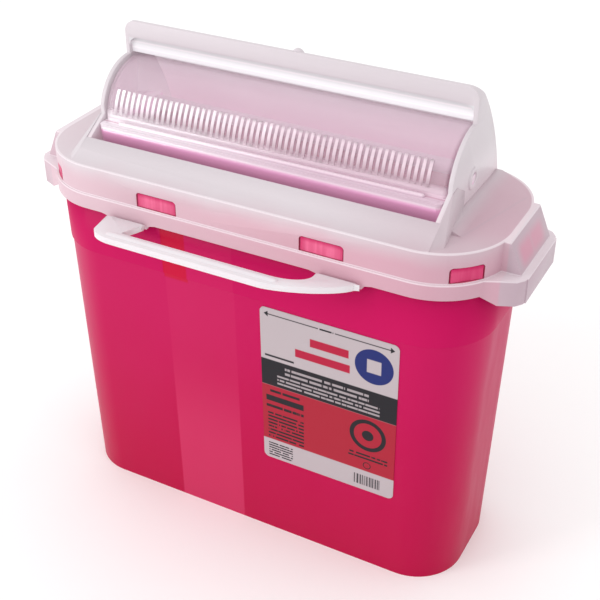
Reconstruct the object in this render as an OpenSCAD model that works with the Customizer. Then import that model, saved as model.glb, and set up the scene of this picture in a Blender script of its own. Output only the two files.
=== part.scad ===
// Sharps container: tapered tub, press-on lid, hood with a tipping drop door, carry handle.
// Units are millimetres. +Z is up, the front faces -Y, the origin is the centre of the base.

/* [Tub] */
// Half width of the tub at the base
tub_half_w = 115; // [112:0.5:117]
// Half depth of the tub at the base
tub_half_d = 40; // [38:0.5:41]
// Half width of the tub at the rim
rim_half_w = 120.4; // [119.5:0.1:120.5]
// Half depth of the tub at the rim
rim_half_d = 44.4; // [43.6:0.1:44.5]
// Corner radius of the tub at the base
base_r = 27; // [22:1:30]
// Wall thickness of the tub
tub_wall = 1.8; // [1.4:0.1:2.4]
// Height of the outward step below the lid
step_z = 152; // [145:1:160]

/* [Lid] */
// Height of the lower edge of the lid skirt
skirt_z = 180; // [179:0.5:181]
// Height of the rim of the deck
deck_z = 203.5; // [203:0.5:204]
// Half width of the skirt
lid_half_w = 123.2; // [123:0.1:123.6]
// Half depth of the skirt
lid_half_d = 47.2; // [47:0.1:47.6]
// Skirt corner radius
lid_r = 36; // [35:0.5:37]
// Distance of the front windows from the middle
window_x = 45; // [40:1:50]
// Width of the front windows
window_w = 23; // [20:0.5:26]
// Half width of the end flanges
end_half_w = 134.8; // [133:0.1:136]

/* [Hood] */
// Overall height
total_h = 260; // [258:0.5:262]
// Half width of the hood
hood_half_w = 95.5; // [95:0.5:96.5]
// Thickness of the hood walls
hood_wall = 2; // [1.6:0.1:2.4]
// Height of the flange at the top
flange_h = 8.6; // [7:0.2:9]

/* [Door] */
// Height of the pivot line
pivot_z = 216; // [215.5:0.1:216.5]
// Depth of the pivot line
pivot_y = 7; // [6.5:0.1:7.5]
// Outer radius of the curved shield
door_r = 25.8; // [24.8:0.1:25.9]
// Outer radius of the lower apron
apron_r = 32; // [30:0.5:32.5]
// Sheet thickness of the door
door_wall = 1.6; // [1.2:0.1:2]
// Number of grip flutes
flutes = 55; // [20:1:56]

/* [Handle] */
// Reach of the handle from its hinge line
handle_reach = 19; // [18:0.1:22]
// Strap thickness
strap_t = 3.2; // [2.6:0.1:3.2]

/* [Label] */
// Width of the label
label_w = 75; // [50:1:90]
// Height of the label
label_h = 97; // [60:1:110]

/* [Hidden] */
$fa = 3;
$fs = 0.6;
e = 0.01;
lap_z = 188;
bead = 0.8;
lid_wall = 1.6;
rim_r = lid_r - lid_wall - 0.4;
tilt = atan((rim_half_d - tub_half_d) / lap_z);
corner_x = lid_half_w - lid_r;
corner_y = lid_half_d - lid_r;
rim_z = deck_z - 1.8;
end_z = 175;
cut_z = 170;
leaf_t = 1.8;
leaf_h = 2.8;
pad_x = -38.5;
pad_w = 14;
pad_t = 1.2;
pad_z = 149;
win_z0 = 188.4;
win_z1 = 196.3;
front_y = -31.5;
front_z = 211;
hinge_y = -50;
hinge_z = 179;
root_x = 58.7;
root_w = 22;
handle_x = -3.5;
end_t = 2.2;
door_x = hood_half_w - end_t - 0.4;
door_end_r = 2.5;
flute_pitch = 3.14;
flute_x = -86.2;
weight_r = 3.7;
weight_y = 18;
weight_z = -6;
frame_r = 5;
back_cy = -72;
back_cz = 170.4;
back_r = 120.8;
tub_colour = [0.85, 0.13, 0.38];
frost = [0.93, 0.88, 0.9];

// Rounded rectangle about the origin.
module slab(hw, hd, r) {
    square([2 * hw, 2 * (hd - r)], center = true);
    square([2 * (hw - r), 2 * hd], center = true);
    for (sx = [-1, 1])
        for (sy = [-1, 1])
            translate([sx * (hw - r), sy * (hd - r)])
                circle(r = r);
}

// Tapered block between two rounded rectangles.
module taper(z0, hw0, hd0, r0, z1, hw1, hd1, r1) {
    hull() {
        translate([0, 0, z0])
            linear_extrude(height = e)
                slab(hw0, hd0, r0);
        translate([0, 0, z1 - e])
            linear_extrude(height = e)
                slab(hw1, hd1, r1);
    }
}

// A profile drawn in depth and height, run along the width from x0 to x1.
module along_x(x0, x1) {
    translate([x0, 0, 0])
        rotate([90, 0, 90])
            linear_extrude(height = x1 - x0)
                children();
}

// A profile drawn in width and height, run along the depth from y0 to y1.
module along_y(y0, y1) {
    translate([0, y1, 0])
        rotate([90, 0, 0])
            linear_extrude(height = y1 - y0)
                children();
}

// Turns a profile drawn in radius and width about the pivot line, a0 to a1 degrees up from the front.
module about_pivot(a0, a1) {
    translate([0, pivot_y, pivot_z])
        rotate([90, 0, 90])
            rotate([0, 0, 180 - a1])
                rotate_extrude(angle = a1 - a0)
                    children();
}

// Part of a tube about the pivot line.
module arc_wall(r0, r1, a0, a1, x0, x1) {
    about_pivot(a0, a1)
        translate([r0, x0])
            square([r1 - r0, x1 - x0]);
}

// Half of a drum profile with rounded ends.
module drum(r, hx, round_r) {
    translate([0, -hx])
        square([r - round_r, 2 * hx]);
    translate([0, -hx + round_r])
        square([r, 2 * (hx - round_r)]);
    for (s = [-1, 1])
        translate([r - round_r, s * (hx - round_r)])
            circle(r = round_r);
}

// Shell of the drum profile.
module drum_shell(r) {
    difference() {
        drum(r, door_x, door_end_r);
        drum(r - door_wall, door_x - door_wall, door_end_r - door_wall);
    }
}

// Places a child on each front and back corner of the skirt, 44 degrees round.
module at_corners() {
    for (sx = [-1, 1])
        for (sy = [-1, 1])
            mirror([sx < 0 ? 1 : 0, 0, 0])
                mirror([0, sy < 0 ? 1 : 0, 0])
                translate([corner_x, corner_y, 0])
                    rotate([0, 0, 46])
                        children();
}

// Snap window outline with rounded upper corners.
module window_shape(w) {
    translate([-w / 2, win_z0])
        square([w, win_z1 - win_z0 - 2]);
    translate([-w / 2 + 2, win_z0])
        square([w - 4, win_z1 - win_z0]);
    for (s = [-1, 1])
        translate([s * (w / 2 - 2), win_z1 - 2])
            circle(r = 2);
}

// A tub size at the height of the step.
function at_step(low, high) = low + (high - low) * step_z / lap_z;

// Pads inside the front and back walls that stiffen them under one pair of snap tabs.
module wall_pads() {
    for (sy = [-1, 1])
        mirror([0, sy < 0 ? 1 : 0, 0])
            translate([pad_x, tub_half_d - tub_wall - pad_t, 0])
                rotate([-tilt, 0, 0])
                    translate([-pad_w / 2, 0, pad_z])
                        cube([pad_w, pad_t + tub_wall / 2, lap_z - 8 - pad_z]);
}

module tub_outer() {
    taper(0, tub_half_w, tub_half_d, base_r, lap_z, rim_half_w, rim_half_d, rim_r - bead);
}

// Tub with its outward step, rim, snap tabs and end lugs.
module tub() {
    color(tub_colour)
    wall_pads();
    color(tub_colour)
    difference() {
        union() {
            tub_outer();
            // The wall steps out near the top.
            taper(step_z, at_step(tub_half_w, rim_half_w) + bead, at_step(tub_half_d, rim_half_d) + bead,
                  at_step(base_r, rim_r - bead) + bead, lap_z, rim_half_w + bead, rim_half_d + bead, rim_r);
            translate([0, 0, lap_z - e])
                linear_extrude(height = rim_z - lap_z + e)
                    slab(rim_half_w, rim_half_d, rim_r - bead);
            // Snap tabs that show in the windows of the lid.
            for (sx = [-1, 1])
                for (sy = [-1, 1])
                    translate([sx * window_x - 10.8, sy * (rim_half_d + 0.85) - 1.45, win_z0 + 0.4])
                        cube([21.6, 2.9, 6.9]);
            at_corners()
                translate([rim_r - 2.2, -7.6, win_z0 + 0.4])
                    cube([3.3, 15.2, 6.9]);
            // End lugs under the end blocks of the lid.
            for (sx = [-1, 1])
                mirror([sx < 0 ? 1 : 0, 0, 0])
                    along_y(-17, 17)
                        polygon([[rim_half_w - 1, 189.5], [rim_half_w + 7.2, 189.5], [rim_half_w + 3.6, 198],
                                 [rim_half_w - 1, 198]]);
        }
        taper(tub_wall + 0.4, tub_half_w - tub_wall, tub_half_d - tub_wall, base_r - tub_wall,
              rim_z + 1, rim_half_w - tub_wall + 0.2, rim_half_d - tub_wall + 0.2, rim_r - tub_wall);
    }
}

// Printed label on the front of the tub, right of the middle.
module label() {
    color([0.95, 0.95, 0.95])
        translate([47.6, -tub_half_d, 0])
            rotate([tilt, 0, 0])
                translate([0, 0, 100.6])
                    rotate([90, 0, 0])
                        linear_extrude(height = 0.3)
                            slab(label_w / 2, label_h / 2, 3);
}

// Sloped outer section of one end block.
module end_section(x_top, x_low, drop) {
    polygon([[lid_half_w - 6, deck_z - drop], [x_top, deck_z - drop], [x_low, lap_z],
             [end_half_w - drop, lap_z - 0.6 * drop], [end_half_w - drop, end_z - drop],
             [lid_half_w - 6, end_z - drop]]);
}

// Plan of one end flange, blended into the corners of the skirt.
module end_flange() {
    polygon([[108, -22], [112, -32], [117, -32], [122, -29.6], [end_half_w - 3.5, -25.5],
             [end_half_w - 0.9, -22], [end_half_w, -18], [end_half_w, 18], [end_half_w - 0.9, 22],
             [end_half_w - 3.5, 25.5], [122, 29.6], [117, 32], [112, 32], [108, 22]]);
}

// Lid with its deck, skirt, front panel and end blocks.
module lid() {
    color(frost)
    difference() {
        union() {
            translate([0, 0, lap_z])
                linear_extrude(height = deck_z - lap_z)
                    slab(lid_half_w, lid_half_d, lid_r);
            translate([0, 0, skirt_z])
                linear_extrude(height = lap_z - skirt_z)
                    slab(lid_half_w + bead, lid_half_d + bead, lid_r + bead);
            // Leaves under the skirt that carry the two straps of the handle.
            for (sx = [-1, 1])
                translate([handle_x + sx * root_x, 0, 0])
                    along_y(-lid_half_d - bead, -lid_half_d - bead + leaf_t)
                        polygon([[-root_w / 2 - 5, skirt_z + 1], [-root_w / 2 - 5, skirt_z],
                                 [-root_w / 2 - 1.5, skirt_z - 0.8], [-root_w / 2, skirt_z - leaf_h],
                                 [root_w / 2, skirt_z - leaf_h], [root_w / 2 + 1.5, skirt_z - 0.8],
                                 [root_w / 2 + 5, skirt_z], [root_w / 2 + 5, skirt_z + 1]]);
            // Front panel sloping up to the drop opening.
            along_x(-hood_half_w - 0.6, hood_half_w + 0.6)
                polygon([[-45.4, deck_z - 1], [-45.4, deck_z], [front_y - 0.6, front_z], [front_y, front_z],
                         [front_y + 8, deck_z], [front_y + 8, deck_z - 1]]);
            for (sx = [-1, 1])
                mirror([sx < 0 ? 1 : 0, 0, 0]) {
                    along_y(-20.5, 20.5)
                        end_section(lid_half_w + 1.8, 131.6, 0);
                    // The flange hangs below the skirt and runs out into it at the corners.
                    intersection() {
                        translate([0, 0, end_z])
                            linear_extrude(height = lap_z - end_z)
                                end_flange();
                        along_y(-lid_half_d, lid_half_d)
                            polygon([[108, lap_z], [108, skirt_z], [116, skirt_z], [124, end_z],
                                     [end_half_w + 1, end_z], [end_half_w + 1, lap_z]]);
                    }
                    // Gusset from the front corner up to the bearing.
                    hull() {
                        along_x(hood_half_w, hood_half_w + 0.4)
                            polygon([[-45, deck_z - 1], [-45, deck_z], [front_y, front_z], [-19, 219],
                                     [-13, 220], [-3, 214], [-3, deck_z - 1]]);
                        translate([hood_half_w + 4.5, -39.5, deck_z - 1])
                            cube(1);
                    }
                    // Foot of the hood, falling to the deck.
                    along_y(-26, 42)
                        polygon([[hood_half_w - 1, deck_z - 1], [hood_half_w - 1, deck_z + 2.2],
                                 [hood_half_w + 3, deck_z + 2.2], [hood_half_w + 8.5, deck_z],
                                 [hood_half_w + 8.5, deck_z - 1]]);
                }
        }
        // Hollow of the skirt.
        translate([0, 0, cut_z])
            linear_extrude(height = rim_z - cut_z)
                slab(lid_half_w - lid_wall, lid_half_d - lid_wall, lid_r - lid_wall);
        // Hollow under the front panel.
        along_x(-hood_half_w + 2, hood_half_w - 2)
            polygon([[-44.6, deck_z - 3], [-44.6, deck_z - 1.8], [front_y - 0.6, front_z - 1.9],
                     [front_y + 1, front_z - 1.9], [front_y + 1, deck_z + 20], [front_y + 9, deck_z + 20],
                     [front_y + 9, deck_z - 3]]);
        // Hollows of the end blocks.
        for (sx = [-1, 1])
            mirror([sx < 0 ? 1 : 0, 0, 0])
                along_y(-18.8, 18.8)
                    end_section(lid_half_w, 129.8, 1.8);
        for (sx = [-1, 1])
            mirror([sx < 0 ? 1 : 0, 0, 0])
                translate([0, 0, cut_z])
                    linear_extrude(height = lap_z - 1.8 - cut_z)
                        polygon([[110, -25], [121, -27.6], [end_half_w - 4.6, -24.2],
                                 [end_half_w - 1.8, -17.6], [end_half_w - 1.8, 17.6],
                                 [end_half_w - 4.6, 24.2], [121, 27.6], [110, 25]]);
        // Drop opening through the deck.
        translate([-hood_half_w + 2.2, front_y + 1, deck_z - 5])
            cube([2 * hood_half_w - 4.4, 67.5, 12]);
        // Seats of the end walls of the hood.
        for (sx = [-1, 1])
            mirror([sx < 0 ? 1 : 0, 0, 0])
                along_x(hood_half_w - end_t, hood_half_w)
                    hood_outline(0);
        // Snap windows.
        for (sx = [-1, 1])
            translate([sx * window_x, 0, 0])
                along_y(-60, 60)
                    window_shape(window_w);
        at_corners()
            translate([lid_r - 5, 0, 0])
                rotate([0, 0, 90])
                    along_y(-8, 8)
                        window_shape(17);
    }
}

// Side outline of the hood in depth and height, grown by g.
module hood_outline(g) {
    intersection() {
        polygon([[front_y - g, deck_z], [front_y - g, front_z + g], [-18.5 - g, 219],
                 [-18.5 - g, total_h + g], [120, total_h + g], [120, deck_z]]);
        union() {
            translate([pivot_y, pivot_z])
                circle(r = 26.6 + g);
            polygon([[front_y - g, deck_z], [front_y - g, front_z + g], [-19 - g, 219], [pivot_y, 219],
                     [pivot_y, total_h + g], [60, total_h + g], [60, deck_z]]);
        }
        translate([back_cy, back_cz])
            circle(r = back_r + g);
    }
}

// Hood: end walls, curved back, top flange and recessed panel over the door.
module hood() {
    color(frost)
    difference() {
        union() {
            for (sx = [-1, 1])
                mirror([sx < 0 ? 1 : 0, 0, 0])
                    along_x(hood_half_w - end_t, hood_half_w)
                        hood_outline(0);
            // Curved back wall.
            along_x(-hood_half_w + 1, hood_half_w - 1)
                difference() {
                    hood_outline(0);
                    translate([back_cy, back_cz])
                        circle(r = back_r - hood_wall);
                    translate([-60, 0])
                        square([60 + pivot_y + 1, 300]);
                }
            // Top flange.
            along_x(-hood_half_w + 1, hood_half_w - 1)
                intersection() {
                    hood_outline(0);
                    translate([pivot_y, total_h - flange_h])
                        square([12, flange_h]);
                }
            // Recessed panel between the flange and the door.
            along_x(-hood_half_w + 1, hood_half_w - 1)
                translate([pivot_y + 2.2, pivot_z + 27])
                    square([hood_wall, total_h - flange_h - pivot_z - 26.5]);
            // Fillets where the flange meets the end walls.
            for (sx = [-1, 1])
                mirror([sx < 0 ? 1 : 0, 0, 0])
                    translate([hood_half_w - end_t - frame_r, 0, total_h - flange_h - frame_r])
                        along_y(pivot_y, pivot_y + 3)
                            difference() {
                                square(frame_r + 0.5);
                                circle(r = frame_r);
                            }
            // Pivot bosses outside the end walls.
            for (sx = [-1, 1])
                translate([sx * (hood_half_w - 0.8), pivot_y, pivot_z])
                    rotate([0, 90, 0])
                        cylinder(r = 5.4, h = 3.4, center = true);
            // Moulding nub on the top edge.
            translate([3, pivot_y + 2.4, total_h - 2])
                rotate([90, 0, 0])
                    cylinder(r = 3.2, h = 2.4, center = true);
        }
        // Rounded upper corners of the hood.
        for (sx = [-1, 1])
            translate([sx * (hood_half_w - 6), 0, total_h - 6])
                difference() {
                    translate([sx * 5, 0, 5])
                        cube([10, 200, 10], center = true);
                    rotate([90, 0, 0])
                        cylinder(r = 6, h = 220, center = true);
                }
        // Bearing holes.
        for (sx = [-1, 1])
            translate([sx * (hood_half_w - 2), pivot_y, pivot_z])
                rotate([0, 90, 0])
                    cylinder(r = 3.06, h = 12, center = true);
    }
}

// Hub, balance arm and pivot stub at one end of the door.
module door_end(sx) {
    translate([sx * (door_x - door_wall / 2), 0, 0])
        along_x(-door_wall / 2, door_wall / 2)
            difference() {
                union() {
                    translate([pivot_y, pivot_z])
                        circle(r = 6);
                    polygon([[pivot_y, pivot_z + 5.9], [pivot_y + weight_y + 1, pivot_z + weight_z + 5.7],
                             [pivot_y + weight_y - 1.6, pivot_z + weight_z - 5.5], [pivot_y - 1.6, pivot_z - 5.7]]);
                    translate([pivot_y + weight_y, pivot_z + weight_z])
                        circle(r = 5.8);
                }
                translate([pivot_y + weight_y, pivot_z + weight_z])
                    circle(r = weight_r);
            }
    translate([sx * (door_x + 1), pivot_y, pivot_z])
        rotate([0, 90, 0])
            cylinder(r = 3, h = 4, center = true);
}

// Clear door: fluted shield, finger ledge, lower apron and two ends.
module door() {
    ledge_x = door_x - door_end_r;
    color([0.95, 0.85, 0.92])
    union() {
        about_pivot(-0.4, 100)
            drum_shell(door_r);
        about_pivot(-48, 0)
            drum_shell(apron_r);
        // Finger ledge joining the shield to the apron.
        arc_wall(door_r - door_wall, apron_r - 0.8, -3.4, 0, -ledge_x, ledge_x);
        for (s = [-1, 1])
            about_pivot(-3.4, 0)
                intersection() {
                    drum(apron_r, door_x, door_end_r);
                    translate([door_r - door_end_r - 2, s * (door_x - 5) - 5])
                        square([20, 10]);
                }
        // Rounded nose along the front of the ledge.
        translate([0, pivot_y - apron_r + 2.3, pivot_z - 2])
            rotate([0, 90, 0])
                cylinder(r = 2.3, h = 2 * ledge_x, center = true);
        // Raised bead along the ledge.
        translate([0, pivot_y - apron_r + 4.2, pivot_z + 0.3])
            rotate([0, 90, 0])
                cylinder(r = 1.3, h = 164, center = true);
        for (s = [-1, 1])
            translate([s * 82, pivot_y - apron_r + 4.2, pivot_z + 0.3])
                sphere(r = 1.3);
        for (i = [0:flutes - 1])
            arc_wall(door_r - 0.5, door_r + 0.55, 9, 37, flute_x + i * flute_pitch - 0.8,
                     flute_x + i * flute_pitch + 0.8);
        for (sx = [-1, 1])
            door_end(sx);
    }
}

// Balance bar that swings the door shut.
module door_weight() {
    color([0.9, 0.86, 0.88])
        translate([0, pivot_y + weight_y, pivot_z + weight_z])
            rotate([0, 90, 0])
                cylinder(r = weight_r, h = 2 * door_x, center = true);
}

// Outline of the handle; the right-hand corner is cut back further than the left.
module handle_outline() {
    bar_y = hinge_y - handle_reach;
    left = -root_x - root_w / 2;
    right = root_x + root_w / 2;
    polygon(concat(
        [[right, hinge_y], [left, hinge_y]],
        [for (a = [0:9:90]) [left + 15 - 13 * cos(a), bar_y + 6.5 - 6.5 * sin(a)]],
        [for (a = [0:6:84])
            [right - 42 + 40 * pow(sin(a), 1.4), hinge_y - handle_reach * pow(cos(a), 1.4)]]));
}

// Finger opening of the handle.
module handle_opening() {
    low = hinge_y - handle_reach + 7.2;
    left = -root_x + root_w / 2;
    right = root_x - root_w / 2;
    polygon(concat(
        [[right, hinge_y + 5], [left, hinge_y + 5], [left, hinge_y + 1]],
        [for (a = [0:15:90]) [left - 4 - cos(a), low + 1 - sin(a)]],
        [for (a = [0:9:90]) [right - 18 + 18 * sin(a), low + 9 - 9 * cos(a)]]));
}

// Carry handle: two straps and a ribbed grip bar.
module carry_handle() {
    spine_y = hinge_y - handle_reach + 4.5;
    spine_x = -12;
    spine_l = 2 * root_x - 26;
    color(frost)
    translate([handle_x, 0, 0])
    union() {
        translate([0, 0, hinge_z - strap_t / 2])
            linear_extrude(height = strap_t)
                difference() {
                    handle_outline();
                    handle_opening();
                }
        // Hinge edges of the two straps.
        for (sx = [-1, 1])
            translate([sx * (root_x - 1), hinge_y, hinge_z])
                rotate([0, 90, 0])
                    cylinder(r = strap_t / 2, h = root_w - 3, center = true);
        // Rounded spine of the grip.
        translate([spine_x, spine_y, hinge_z])
            rotate([0, 90, 0])
                cylinder(r = 2.4, h = spine_l, center = true);
        for (sx = [-1, 1])
            translate([spine_x + sx * spine_l / 2, spine_y, hinge_z])
                sphere(r = 2.4);
    }
}

tub();
label();
lid();
hood();
door();
door_weight();
carry_handle();
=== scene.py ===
import math
import bpy
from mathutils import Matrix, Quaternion, Vector


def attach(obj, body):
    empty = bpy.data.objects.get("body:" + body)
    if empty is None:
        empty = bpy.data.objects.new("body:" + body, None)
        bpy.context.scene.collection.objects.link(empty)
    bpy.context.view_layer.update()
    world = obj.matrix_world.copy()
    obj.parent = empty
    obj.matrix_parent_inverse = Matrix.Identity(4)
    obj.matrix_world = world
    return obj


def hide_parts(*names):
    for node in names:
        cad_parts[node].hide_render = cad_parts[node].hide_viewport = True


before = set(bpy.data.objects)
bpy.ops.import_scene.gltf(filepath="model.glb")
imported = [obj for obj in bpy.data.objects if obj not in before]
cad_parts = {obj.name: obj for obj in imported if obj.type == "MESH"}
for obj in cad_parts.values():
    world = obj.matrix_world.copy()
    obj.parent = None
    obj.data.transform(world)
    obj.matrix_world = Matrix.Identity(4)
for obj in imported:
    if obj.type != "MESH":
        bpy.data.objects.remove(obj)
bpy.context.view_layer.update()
print("frame loaded", sorted(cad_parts))


def paintColour(red, green, blue):  # screen colour, 0 to 255, to the linear colour that shaders use
    def linear(value):
        value /= 255
        return value / 12.92 if value <= 0.04045 else ((value + 0.055) / 1.055) ** 2.4
    return (linear(red), linear(green), linear(blue), 1)


def pickOnly(piece):
    bpy.ops.object.select_all(action="DESELECT")
    piece.select_set(True)
    bpy.context.view_layer.objects.active = piece


def applyModifiers(piece):
    pickOnly(piece)
    for modifier in list(piece.modifiers):
        bpy.ops.object.modifier_apply(modifier=modifier.name)


class Wire:  # an output socket that can stand in a sum
    def __init__(self, paint, socket):
        self.paint = paint
        self.socket = socket

    def __add__(self, other):
        return self.paint.maths("ADD", self, other)

    def __radd__(self, other):
        return self.paint.maths("ADD", other, self)

    def __sub__(self, other):
        return self.paint.maths("SUBTRACT", self, other)

    def __rsub__(self, other):
        return self.paint.maths("SUBTRACT", other, self)

    def __mul__(self, other):
        return self.paint.maths("MULTIPLY", self, other)

    def __rmul__(self, other):
        return self.paint.maths("MULTIPLY", other, self)

    def __truediv__(self, other):
        return self.paint.maths("DIVIDE", self, other)

    def __abs__(self):
        return self.paint.maths("ABSOLUTE", self)


class Paint:  # the node tree of one material
    def __init__(self, name):
        self.material = bpy.data.materials.new(name)
        self.material.use_nodes = True
        self.tree = self.material.node_tree
        self.tree.nodes.clear()

    def node(self, kind, settings, values, output=0):
        made = self.tree.nodes.new(kind)
        for key, value in settings.items():
            setattr(made, key, value)
        for key, value in values.items():
            if isinstance(value, Wire):
                self.tree.links.new(value.socket, made.inputs[key])
            else:
                made.inputs[key].default_value = value
        return Wire(self, made.outputs[output]) if made.outputs else None

    def maths(self, operation, *values):
        return self.node("ShaderNodeMath", {"operation": operation}, dict(enumerate(values)))

    def place(self):  # position on the object in millimetres
        point = self.node("ShaderNodeTexCoord", {}, {}, "Object")
        scaled = self.node("ShaderNodeVectorMath", {"operation": "SCALE"}, {0: point, "Scale": 1000.0})
        return [self.node("ShaderNodeSeparateXYZ", {}, {0: scaled}, axis) for axis in "XYZ"]

    def ramp(self, value, low, high, atLow=0.0, atHigh=1.0):  # smooth step between two values
        return self.node("ShaderNodeMapRange", {"interpolation_type": "SMOOTHSTEP"},
                         {0: value, 1: low, 2: high, 3: atLow, 4: atHigh})

    def band(self, value, low, high, soft):  # 1 between low and high
        return self.ramp(value, low - soft, low + soft) * self.ramp(value, high - soft, high + soft, 1.0, 0.0)

    def noise(self, grain, detail=2.0, stretch=(1, 1, 1)):  # grain is the size of a patch in millimetres
        point = self.node("ShaderNodeTexCoord", {}, {}, "Object")
        scale = tuple(1000 * side / grain for side in stretch)
        scaled = self.node("ShaderNodeMapping", {}, {0: point, "Scale": scale})
        return self.node("ShaderNodeTexNoise", {}, {"Vector": scaled, "Scale": 1.0, "Detail": detail}, "Fac")

    def mix(self, factor, first, second):
        return self.node("ShaderNodeMix", {"data_type": "RGBA"}, {0: factor, 6: first, 7: second}, 2)

    def bump(self, height, strength, distance):
        return self.node("ShaderNodeBump", {}, {"Strength": strength, "Distance": distance, "Height": height})

    def finish(self, values):
        surface = self.node("ShaderNodeBsdfPrincipled", {}, values)
        self.node("ShaderNodeOutputMaterial", {}, {"Surface": surface})
        return self.material


tubFinish = {
    "pink": (186, 16, 84),
    "deep": (176, 0, 62),
    "pale": (206, 62, 106),
    "rib": (186, 0, 18),
    "tab": (224, 108, 144),
    "pad": (-45.5, -31.5, 149.5, 187),  # left, right, bottom and top of the inner pad
    "paleBand": (-45, -4.5),
    "tabMiddle": 45,
    "tabFoot": 187.5,
}


def tubPlastic():
    paint = Paint("tubPlastic")
    x, y, z = paint.place()
    cloud = paint.noise(70)
    colour = paint.mix(paint.ramp(z + 60 * cloud, 20, 190), paintColour(*tubFinish["deep"]),
                       paintColour(*tubFinish["pink"]))
    front = paint.ramp(y, -38, -36, 1.0, 0.0)
    # The inner pad shows through the wall as a redder strip.
    left, right, bottom, top = tubFinish["pad"]
    pads = paint.band(x, left, right, 0.5) * paint.band(z, bottom, top, 0.8)
    colour = paint.mix(pads * 0.75, colour, paintColour(*tubFinish["rib"]))
    # A paler band left of the label on the front, strongest low down.
    paleBand = paint.band(x, *tubFinish["paleBand"], 0.4) * paint.ramp(z, 40, 110, 0.5, 0.12) * front
    colour = paint.mix(paleBand, colour, paintColour(*tubFinish["pale"]))
    # The snap tabs catch more light in the middle than at their edges.
    sideways = abs(abs(x) - tubFinish["tabMiddle"])
    tabShade = paint.ramp(z, 193.2, 195.6, 1.0, 0.35) * paint.ramp(sideways, 7, 11, 1.0, 0.45)
    tabShade = tabShade * paint.ramp(paint.noise(2.6, 2, (1, 1, 0.1)), 0.35, 0.65, 0.7, 1.0)
    tabs = paint.ramp(z, tubFinish["tabFoot"], tubFinish["tabFoot"] + 1) * tabShade
    colour = paint.mix(tabs, colour, paintColour(*tubFinish["tab"]))
    # A little paler at the right-hand end.
    colour = paint.mix(paint.ramp(x, 108, 120, 0.0, 0.04), colour, paintColour(*tubFinish["pale"]))
    skin = paint.noise(0.9, 3)
    scuffs = paint.noise(9, 6, (1, 1, 0.25))
    return paint.finish({
        "Base Color": colour,
        "Roughness": 0.26 + scuffs * 0.16,
        "Specular IOR Level": 0.05,
        "Coat Weight": paint.ramp(abs(x), 96, 112, 0.03, 0.0),
        "Coat Roughness": 0.12,
        # Painted glow: the emission makes the wall glow faintly, standing in for light passing through the
        # pink plastic.
        "Emission Color": colour,
        "Emission Strength": 0.06,
        "Normal": paint.bump(skin, 0.05, 0.0003),
    })


lidPlan = {
    "straight": (87.2, 11.2),  # half lengths of the straight sides of the skirt
    "radius": 36.0,  # corner radius of the skirt
    "rims": (203.4, 187.95),  # middle heights of the deck's rim and of the bead
    "blockFrom": 123.8,
    "lug": (190, 199),
    "line": (110.6, 0.27),  # place and slant of the line across each end of the deck
}

frostFinish = {
    "white": (209, 200, 205),
    "grey": (214, 212, 215),
    "glow": (208, 158, 173),
    "mauve": (200, 146, 172),
    "edge": (238, 228, 233),
    "block": (186, 164, 175),
    "deck": (210, 170, 184),
    "shade": (176, 140, 154),
    "lug": (208, 132, 156),
    "window": (214, 96, 132),
}


def frostedLid():
    paint = Paint("frostedLid")
    x, y, z = paint.place()
    cloud = paint.noise(34, 3)
    sideways = paint.maths("MAXIMUM", abs(x) - lidPlan["straight"][0], 0.0)
    endways = paint.maths("MAXIMUM", abs(y) - lidPlan["straight"][1], 0.0)
    reach = paint.maths("SQRT", sideways * sideways + endways * endways)
    # The pink rim of the tub shows through the skirt; its rise towards the right is painted shade.
    low = paint.ramp(z + 8 * cloud, 197, 211, 1.0, 0.0) * paint.ramp(x, -120, 110, 0.55, 1.0)
    colour = paint.mix(low, paintColour(*frostFinish["white"]), paintColour(*frostFinish["glow"]))
    # Both ends of the deck are pinker; the right-hand one most, which is painted shade.
    ends = paint.ramp(abs(x), 97, 106) * paint.ramp(y, -36, -10, 0.3, 0.85)
    ends = ends * paint.ramp(x, -100, 100, 0.35, 1.0)
    colour = paint.mix(ends * 0.85, colour, paintColour(*frostFinish["deck"]))
    # The right-hand end lies further from the light.
    colour = paint.mix(paint.ramp(x, 20, 110, 0.0, 0.35), colour, paintColour(*frostFinish["shade"]))
    # Each end block is greyer, the right-hand one more so, which is painted shade; its lug shows as a pink
    # patch below the top edge.
    block = paint.ramp(abs(x), lidPlan["blockFrom"], lidPlan["blockFrom"] + 1.4)
    lug = paint.band(z, *lidPlan["lug"], 3) * paint.band(abs(y), -1, 15, 4)
    blockTint = paint.mix(lug * 0.7, paintColour(*frostFinish["block"]), paintColour(*frostFinish["lug"]))
    colour = paint.mix(block * paint.ramp(x, -120, 120, 0.45, 0.9), colour, blockTint)
    # A faint slanted fold crosses each end of the deck; its shade is painted as a darker line.
    linePlace, lineSlant = lidPlan["line"]
    aside = abs(abs(x) - lineSlant * y - linePlace)
    line = paint.ramp(aside, 0.3, 1.0, 1.0, 0.0) * paint.band(y, -25, 24, 2) * paint.ramp(z, 203, 203.4)
    colour = paint.mix(line * 0.3, colour, paintColour(*frostFinish["block"]))
    # Painted highlights along the rim of the deck and along the bead.
    brink = paint.ramp(reach, lidPlan["radius"] - 1.4, lidPlan["radius"] - 0.8)
    deckRim, beadRim = lidPlan["rims"]
    rims = paint.band(z, deckRim - 0.5, deckRim + 0.5, 0.25) * brink
    rims = rims + paint.band(z, beadRim - 0.65, beadRim + 0.65, 0.25)
    colour = paint.mix(rims * 0.6, colour, paintColour(*frostFinish["edge"]))
    # The cut edges of the windows show the tub behind them.
    cut = paint.ramp(reach, lidPlan["radius"] - 0.45, lidPlan["radius"] - 0.25, 1.0, 0.0)
    cut = cut * paint.band(z, 188.2, 196.8, 0.15)
    colour = paint.mix(cut, colour, paintColour(*frostFinish["window"]))
    return frostSkin(paint, colour, 0.0)


hoodPlan = {
    "inner": 93.2,  # half width between the end walls
    "flangeFoot": 251.2,
    "paleLines": (245.5, 248.65),
}


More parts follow.
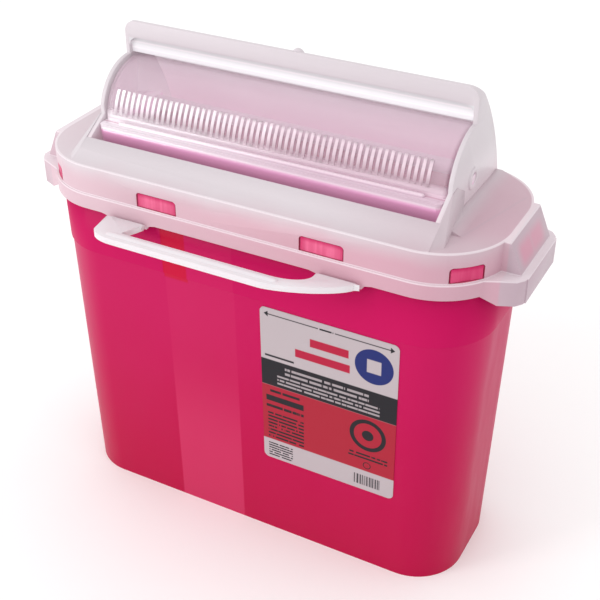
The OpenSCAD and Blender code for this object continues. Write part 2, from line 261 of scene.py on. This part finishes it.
def frostedHood():
    paint = Paint("frostedHood")
    x, _, z = paint.place()
    cloud = paint.noise(40, 3)
    inner, foot = hoodPlan["inner"], hoodPlan["flangeFoot"]
    inside = paint.ramp(abs(x), inner - 0.2, inner + 0.2, 1.0, 0.0)
    inside = inside * paint.ramp(z, foot - 0.4, foot + 0.4, 1.0, 0.0)
    lit = inside * paint.ramp(z, 246, 250, 1.0, 0.0)  # light comes through the back up to the flange
    shade = paint.mix(paint.ramp(z + 10 * cloud, 205, 245), paintColour(*frostFinish["mauve"]),
                      paintColour(*frostFinish["grey"]))
    outer = paint.mix(paint.ramp(z + 10 * cloud, 200, 226, 0.35, 0.0), paintColour(*frostFinish["white"]),
                      paintColour(*frostFinish["glow"]))
    colour = paint.mix(inside, outer, shade)
    # Two faint paler lines in the panel over the door.
    lowLine, highLine = hoodPlan["paleLines"]
    lines = paint.band(z, lowLine - 0.3, lowLine + 0.3, 0.25)
    lines = lines + paint.band(z, highLine - 0.35, highLine + 0.35, 0.25)
    colour = paint.mix(lines * inside * 0.5, colour, paintColour(*frostFinish["edge"]))
    # Painted light: the low sides of the hood glow, lifting the shade at its foot.
    lowSide = paint.ramp(z, 204, 232, 0.55, 0.0)
    return frostSkin(paint, colour, paint.maths("MAXIMUM", lit, lowSide))


def frostSkin(paint, colour, glowing):  # fine grained frosted plastic; glowing is where light comes through
    grain = paint.noise(0.7, 4)
    glow = paint.mix(glowing, (0, 0, 0, 1), colour)
    return paint.finish({
        "Base Color": colour,
        "Roughness": 0.34 + paint.noise(6, 4) * 0.14,
        "Specular IOR Level": 0.35,
        "Coat Weight": 0.12,
        "Coat Roughness": 0.18,
        "Emission Color": glow,
        "Emission Strength": 0.4,
        "Normal": paint.bump(grain, 0.05, 0.0003),
    })


doorFinish = {
    "pivot": (7.0, 216.0),
    "fluteArc": (8.5, 37.5),  # degrees up from the front
    "rollLeft": (252, 246, 250),
    "rollRight": (228, 197, 212),
    # painted shadow colour for the crease at the foot of the shield
    "footShadow": (204, 160, 180),
    "clear": (246, 220, 235),
    "apron": (208, 148, 184),
    "lipLeft": (238, 226, 234),
    "lipRight": (206, 172, 191),
}


def clearDoor():
    paint = Paint("clearDoor")
    x, y, z = paint.place()
    forward = doorFinish["pivot"][0] - y
    upward = z - doorFinish["pivot"][1]
    reach = paint.maths("SQRT", forward * forward + upward * upward)
    angle = paint.maths("ARCTAN2", upward, forward) * (180 / math.pi)
    lit = paint.ramp(x, -95, 40, 1.0, 0.25)  # the left end lies nearest the light
    apron = paint.ramp(upward, -3.4, -1.4, 1.0, 0.0)
    flutes = paint.ramp(reach, 25.9, 26.15) * paint.band(angle, *doorFinish["fluteArc"], 0.3)
    flutes = flutes * paint.ramp(angle, 9, 26, 0.45, 1.0)  # they fade towards the ledge
    foot = paint.ramp(angle, 4, 20, 0.75, 0.0)
    lip = paint.band(upward, -1.8, 0.9, 0.5) * paint.ramp(reach, 26.4, 26.9)
    # Painted shadow in the crease where the shield meets the ledge.
    footShadow = paint.band(reach, 26.1, 27.3, 0.2) * paint.band(upward, -0.6, 0.5, 0.2)
    rolled = paint.mix(lit, paintColour(*doorFinish["rollRight"]), paintColour(*doorFinish["rollLeft"]))
    colour = paint.mix(foot, paintColour(*doorFinish["clear"]), rolled)
    colour = paint.mix(flutes, colour, rolled)
    colour = paint.mix(apron, colour, paintColour(*doorFinish["apron"]))
    # Painted highlight along the rounded lip, brighter at the left-hand end nearer the light.
    lipTint = paint.mix(lit, paintColour(*doorFinish["lipRight"]), paintColour(*doorFinish["lipLeft"]))
    colour = paint.mix(lip * 0.85, colour, lipTint)
    # Painted shadow at the foot of the shield.
    colour = paint.mix(footShadow * 0.8, colour, paintColour(*doorFinish["footShadow"]))
    # Painted light: the apron glows to lift the shade under the ledge, and the flutes glow at the left-hand
    # end as a painted highlight.
    glow = paint.mix(paint.maths("MAXIMUM", apron, flutes * lit), (0, 0, 0, 1), colour)
    cover = paint.maths("MAXIMUM", paint.ramp(upward, 0.8, 3, 1.0, 0.3), flutes * 0.85)
    cover = paint.maths("MAXIMUM", cover, foot)
    return paint.finish({
        "Base Color": colour,
        "Roughness": 0.08 + paint.noise(14, 3) * 0.06,
        "Alpha": cover,
        "Coat Weight": 0.65,
        "Coat Roughness": 0.04,
        "Emission Color": glow,
        "Emission Strength": 0.3,
    })


handleFinish = {
    "light": (230, 225, 228),
    "cloudy": (220, 212, 217),
}


def handlePlastic():
    paint = Paint("handlePlastic")
    grain = paint.noise(0.7, 4)
    cloud = paint.noise(22, 3)
    colour = paint.mix(cloud, paintColour(*handleFinish["light"]), paintColour(*handleFinish["cloudy"]))
    return paint.finish({
        "Base Color": colour,
        "Roughness": 0.3 + grain * 0.12,
        "Subsurface Weight": 0.2,
        "Subsurface Radius": (0.005, 0.004, 0.004),
        "Coat Weight": 0.2,
        "Coat Roughness": 0.15,
        "Normal": paint.bump(grain, 0.05, 0.0003),
    })


barFinish = {
    "light": (226, 208, 216),
    "dull": (208, 186, 198),
}


def barCoating():
    paint = Paint("barCoating")
    grain = paint.noise(1.4, 4, (0.2, 1, 1))
    colour = paint.mix(grain, paintColour(*barFinish["light"]), paintColour(*barFinish["dull"]))
    return paint.finish({
        "Base Color": colour,
        "Roughness": 0.28 + grain * 0.15,
        "Metallic": 0.15,
        "Normal": paint.bump(grain, 0.08, 0.0003),
    })


labelPrint = {
    "centre": (47.6, 100.6),  # across and up, in millimetres
    "size": (75.0, 97.0),
    "paper": (181, 169, 173),
    "black": (28, 26, 32),
    "red": (164, 26, 48),
    "blue": (26, 38, 104),
    "headingRed": (172, 18, 56),
}


def labelFilm():  # every place below is a share of the label's width or height
    paint = Paint("labelFilm")
    x, _, z = paint.place()
    width, height = labelPrint["size"]
    across = (x - (labelPrint["centre"][0] - width / 2)) / width  # 0 at the left edge, 1 at the right
    down = ((labelPrint["centre"][1] + height / 2) - z) / height  # 0 at the top edge, 1 at the bottom
    black = paintColour(*labelPrint["black"])
    paper = paintColour(*labelPrint["paper"])

    def box(left, right, top, bottom):
        return paint.band(across, left, right, 0.003) * paint.band(down, top, bottom, 0.003)

    def disc(middle, level, radius):  # radius in millimetres
        sideways = (across - middle) * width
        upwards = (down - level) * height
        far = paint.maths("SQRT", sideways * sideways + upwards * upwards)
        return paint.ramp(far, radius - 0.15, radius + 0.15, 1.0, 0.0)

    def words(left, right, top, bottom, lines, seed):  # lines of short bars in place of small print
        row = (down - top) * (lines / (bottom - top))
        rowNumber = paint.maths("FLOOR", row)
        within = row - rowNumber
        point = paint.node("ShaderNodeCombineXYZ", {}, {0: across * 46, 1: rowNumber * 7.3 + seed})
        gaps = paint.node("ShaderNodeTexNoise", {}, {"Vector": point, "Scale": 1.0, "Detail": 2.0}, "Fac")
        dashes = paint.band(within, 0.25, 0.75, 0.06) * paint.ramp(gaps, 0.36, 0.42)
        return box(left, right, top, bottom) * dashes

    colour = paint.mix(box(-0.1, 1.1, 0.324, 0.493), paper, black)
    colour = paint.mix(box(-0.1, 1.1, 0.493, 0.865), colour, paintColour(*labelPrint["red"]))
    # Double-headed arrow along the top edge.
    level = 0.038
    shaft = box(0.05, 0.43, level - 0.003, level + 0.003) + box(0.55, 0.95, level - 0.003, level + 0.003)
    rise = abs(down - level) * height
    leftHead = paint.ramp((across - 0.03) * width * 0.75 - rise, -0.1, 0.1) * box(0.02, 0.06, 0, 0.08)
    rightHead = paint.ramp((0.97 - across) * width * 0.75 - rise, -0.1, 0.1) * box(0.94, 0.98, 0, 0.08)
    ink = shaft + leftHead + rightHead + words(0.44, 0.54, 0.028, 0.048, 1, 3.1)
    # Plain headings, each a solid bar.
    ink = ink + box(0.03, 0.25, 0.292, 0.304)
    ink = ink + words(0.06, 0.29, 0.512, 0.545, 1, 1.7) + box(0.03, 0.32, 0.56, 0.598)
    ink = ink + words(0.03, 0.32, 0.614, 0.65, 1, 5.2)
    ink = ink + words(0.04, 0.32, 0.67, 0.855, 8, 8.4)
    ink = ink + words(0.04, 0.23, 0.885, 0.985, 6, 2.9)
    # Plain ring sign on the red field and two lines under it.
    ink = ink + (disc(0.8, 0.62, 10) - disc(0.8, 0.62, 7.6)) + disc(0.8, 0.62, 3.2)
    ink = ink + words(0.66, 0.95, 0.745, 0.79, 2, 6.6) + (disc(0.8, 0.825, 2.2) - disc(0.8, 0.825, 1.7))
    # Bars of a plain code.
    code = paint.node("ShaderNodeCombineXYZ", {}, {0: across * 150})
    stripes = paint.node("ShaderNodeTexNoise", {}, {"Vector": code, "Scale": 1.0, "Detail": 0.0}, "Fac")
    ink = ink + box(0.7, 0.9, 0.9, 0.968) * paint.ramp(stripes, 0.48, 0.52)
    colour = paint.mix(paint.maths("MINIMUM", ink, 1.0), colour, black)
    # White lines on the black band.
    light = words(0.18, 0.8, 0.345, 0.405, 2, 4.4) + words(0.12, 0.88, 0.408, 0.478, 3, 9.3)
    colour = paint.mix(paint.maths("MINIMUM", light, 1.0) * 0.75, colour, paper)
    # Two red headings and a blue disc with a plain square on it.
    red = box(0.37, 0.65, 0.115, 0.165) + box(0.26, 0.66, 0.205, 0.255)
    colour = paint.mix(red, colour, paintColour(*labelPrint["headingRed"]))
    colour = paint.mix(disc(0.83, 0.17, 10.2), colour, paintColour(*labelPrint["blue"]))
    colour = paint.mix(box(0.78, 0.88, 0.13, 0.21), colour, paper)
    fibre = paint.noise(1.2, 3)
    return paint.finish({
        "Base Color": colour,
        "Roughness": 0.4 + fibre * 0.1,
        "Specular IOR Level": 0.2,
        "Coat Weight": 0.06,
        "Coat Roughness": 0.25,
        "Normal": paint.bump(fibre, 0.03, 0.0003),
    })


edgeFinish = {  # width of the rounded edges in millimetres
    "tub": 0.5,
    "lid": 0.6,
    "hood": 0.7,
    "door": 0.15,
    "door_weight": 0.4,
    "carry_handle": 0.4,
}
mergeReach = {"carry_handle": 0.15}  # millimetres; merges slivers where a tube runs into a flat strap


def roundedCopy(node, name, body, material):  # a copy of a CAD solid with its sharp edges rounded
    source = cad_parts[node]
    piece = bpy.data.objects.new(name, source.data.copy())
    bpy.context.scene.collection.objects.link(piece)
    pickOnly(piece)
    bpy.ops.object.mode_set(mode="EDIT")
    bpy.ops.mesh.select_all(action="SELECT")
    bpy.ops.mesh.remove_doubles(threshold=mergeReach.get(node, 0.002) / 1000)
    bpy.ops.mesh.dissolve_limited(angle_limit=math.radians(0.2))
    bpy.ops.object.mode_set(mode="OBJECT")
    bevel = piece.modifiers.new("edges", "BEVEL")
    bevel.width = edgeFinish[node] / 1000
    bevel.segments = 2
    bevel.limit_method = "ANGLE"
    bevel.angle_limit = math.radians(32)
    bevel.miter_outer = "MITER_ARC"
    applyModifiers(piece)
    bpy.ops.object.shade_smooth_by_angle(angle=math.radians(35))
    piece.data.materials.clear()
    piece.data.materials.append(material)
    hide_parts(node)
    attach(piece, body)
    print("piece", name, len(piece.data.polygons), "faces")
    return piece


def keepNode(node, material):  # the CAD solid itself is shown
    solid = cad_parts[node]
    solid.data.materials.clear()
    solid.data.materials.append(material)
    print("kept", node)


roundedCopy("tub", "tubShell", "base", tubPlastic())
roundedCopy("lid", "lidShell", "base", frostedLid())
roundedCopy("hood", "hoodShell", "base", frostedHood())
roundedCopy("door", "clearDoor", "door", clearDoor())
roundedCopy("door_weight", "balanceBar", "door", barCoating())
roundedCopy("carry_handle", "carryHandle", "handle", handlePlastic())
keepNode("label", labelFilm())


studio = {
    "floor": 6.0,
    "world": 1.0,
    "lights": {  # place, width, height and power
        "keyStrip": ((-1.06, -1.2, 0.68), 0.5, 1.3, 8),
        "topSoftbox": ((0.1, -0.1, 1.7), 0.9, 0.9, 1.5),
    },
}


def makeFloor():
    bpy.ops.object.select_all(action="DESELECT")
    bpy.ops.mesh.primitive_plane_add(size=studio["floor"], location=(0, 0, 0))
    floor = bpy.context.active_object
    floor.name = "floor"
    paint = Paint("paleFloor")
    grain = paint.noise(120, 2)
    colour = paint.mix(grain, (0.94, 0.94, 0.94, 1), (0.97, 0.97, 0.97, 1))
    floor.data.materials.append(paint.finish({
        "Base Color": colour,
        "Roughness": 0.8,
        "Emission Color": (1, 1, 1, 1),
        "Emission Strength": 0.05,
    }))


def makeLights():
    world = bpy.data.worlds.new("studioWorld")
    world.use_nodes = True
    sky = world.node_tree.nodes["Background"]
    sky.inputs["Color"].default_value = (1, 1, 1, 1)
    sky.inputs["Strength"].default_value = studio["world"]
    bpy.context.scene.world = world
    target = Vector((0, 0, 0.13))
    for name, (place, width, height, power) in studio["lights"].items():
        data = bpy.data.lights.new(name, "AREA")
        data.shape = "RECTANGLE"
        data.size = width
        data.size_y = height
        data.energy = power
        lamp = bpy.data.objects.new(name, data)
        lamp.location = place
        lamp.rotation_mode = "QUATERNION"
        lamp.rotation_quaternion = (target - Vector(place)).to_track_quat("-Z", "Y")
        bpy.context.scene.collection.objects.link(lamp)


view = {  # angles in degrees, the azimuth from the front towards the right
    "place": (0.2462, -0.4464, 0.4531),
    "azimuth": 27.95,
    "elevation": 32.84,
    "roll": 0.11,
    "lens": 68.28,
}


def makeCamera():
    data = bpy.data.cameras.new("camera")
    data.lens = view["lens"]
    data.sensor_width = 36
    data.clip_start = 0.01
    data.clip_end = 20
    camera = bpy.data.objects.new("camera", data)
    turn = math.radians(view["azimuth"])
    tip = math.radians(view["elevation"])
    back = Vector((math.sin(turn) * math.cos(tip), -math.cos(turn) * math.cos(tip), math.sin(tip)))
    camera.location = view["place"]
    camera.rotation_mode = "QUATERNION"
    roll = Quaternion((0, 0, 1), math.radians(view["roll"]))
    camera.rotation_quaternion = (-back).to_track_quat("-Z", "Y") @ roll
    bpy.context.scene.collection.objects.link(camera)
    bpy.context.scene.camera = camera


makeFloor()
makeLights()
makeCamera()
bpy.context.scene.view_settings.view_transform = "Standard"
print("studio ready")
